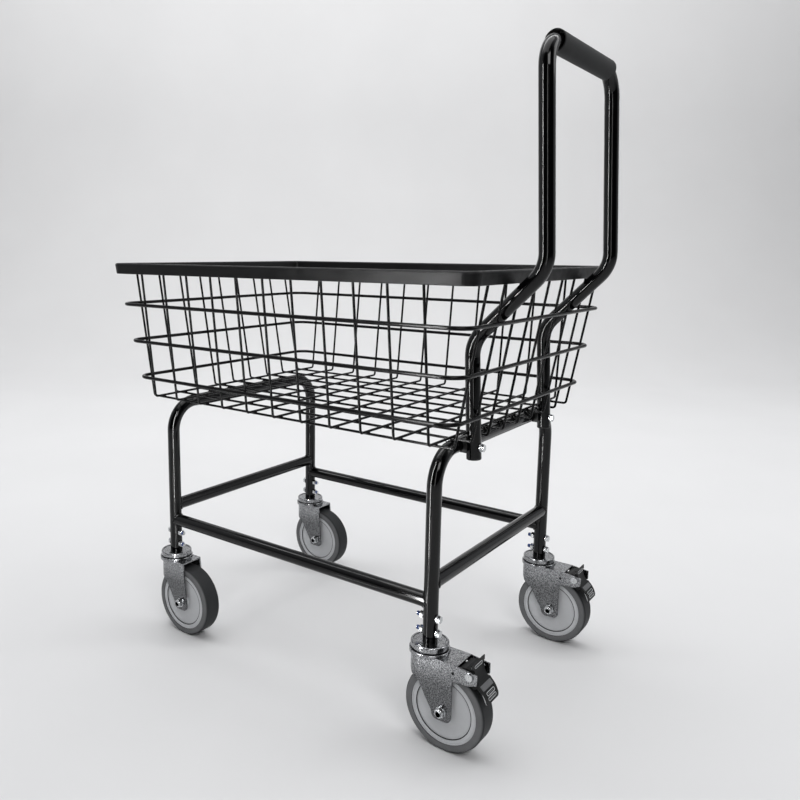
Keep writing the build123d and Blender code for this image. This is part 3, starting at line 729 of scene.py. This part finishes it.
def tread_at(z):
    """X on the outer face of the pedal's tread at a height, and the direction out of it."""
    for (x0, z0), (x1, z1) in zip(PEDAL_PROFILE, PEDAL_PROFILE[1:]):
        if z1 <= z <= z0:
            way = Vector((x1 - x0, 0, z1 - z0)).normalized()
            return x0 + (x1 - x0) * (z0 - z) / (z0 - z1), Vector((-way.z, 0, way.x))
    return PEDAL_PROFILE[-1][0], Vector((1, 0, 0.35)).normalized()


def on_tread(axis, y, z, lift):
    """World place over the tread, from the caster's axis and millimetres across, up and out."""
    x, out = tread_at(z)
    return axis + (Vector((x, y, z)) + out * lift) * MM


def stadium(half_long, half_tall, count=10):
    """Outline of a long slot: pairs of distance across and height."""
    line = []
    for side in (1, -1):
        for i in range(count + 1):
            turn = -pi / 2 + pi * i / count
            across = half_long - half_tall + half_tall * cos(turn)
            line.append((side * across, side * half_tall * sin(turn)))
    return line


def both_halves(left):
    """A line across the pedal from its left half, which ends on the middle."""
    return left + [(-y, z) for y, z in reversed(left[:-1])]


def pedal_highlights(corner):
    """Painted highlights: pale lines round each slot, along the sides and toe, and over the tip, where the
    pedal's edges catch the light.
    """
    axis = leg_axis(corner)
    # Pale lines on the edges: painted highlights.
    highlight_lines = Shape()
    for z in SLOT_HEIGHTS:
        outline = stadium(SLOT_HALF_LONG, SLOT_HALF_TALL)
        highlight_lines.bar([on_tread(axis, y, z + rise, 0.25) for y, rise in outline], 0.42 * MM, closed=True)
    side = [(-17.6 - 0.02 * i, 117.0 - 1.25 * i) for i in range(13)]
    toe = [(-17.4, 101.0), (-16.6, 98.2), (-14.5, 97.2), (-8.0, 97.0), (0.0, 97.0)]
    tip = [(-19.2, 143.0), (-19.4, 145.5), (-18.8, 147.2), (-10.0, 147.4), (0.0, 147.4)]
    for left, lift, radius in ((side + toe, -1.8, 0.95), (tip, -0.7, 0.6)):
        highlight_lines.bar([on_tread(axis, y, z, lift) for y, z in both_halves(left)], radius * MM)
    highlight_lines.place(f"pedal_highlights_{corner}", ["pedal_painted_highlight"], f"pedal_{corner}", "pedal_plastic")


def pedal_band(corner):
    """The grey band across the tread, and a grey rib in each slot."""
    axis = leg_axis(corner)
    ribs = Shape()
    for z in SLOT_HEIGHTS:
        line = [on_tread(axis, SLOT_HALF_LONG * 0.72 * (i / 6 - 1), z, 0.1) for i in range(13)]
        ribs.bar(line, 0.55 * MM)
    proud, edge, back = 0.35, -0.2, -0.6
    inner = range(1, BAND_STEPS)
    rows = []
    for i in range(BAND_STEPS + 1):
        z = BAND_TOP + (BAND_BOTTOM - BAND_TOP) * i / BAND_STEPS
        ys = [BAND_HALF_WIDE * (2 * k / BAND_STEPS - 1) for k in range(BAND_STEPS + 1)]
        lifts = [proud if i in inner and k in inner else edge for k in range(BAND_STEPS + 1)]
        front = [on_tread(axis, y, z, lift) for y, lift in zip(ys, lifts)]
        rows.append(front + [on_tread(axis, y, z, back) for y in reversed(ys)])
    ribs.rod(rows)
    ribs.place(f"pedal_band_{corner}", ["pedal_grey"], f"pedal_{corner}", "pedal_plastic")


# ---- the scene ----------------------------------------------------------
make_camera()
make_studio()
make_floor()
looks = make_looks()
dress_cad_nodes()
rail_welds()
wire_welds()
floor_welds()
rim_bead()
rim_ribs()
stem_threads()
hub_grooves()
axle_threads()
for pedal_corner in ("rear_left", "rear_right"):
    pedal_highlights(pedal_corner)
    pedal_band(pedal_corner)
bpy.context.scene.view_settings.view_transform = "Standard"
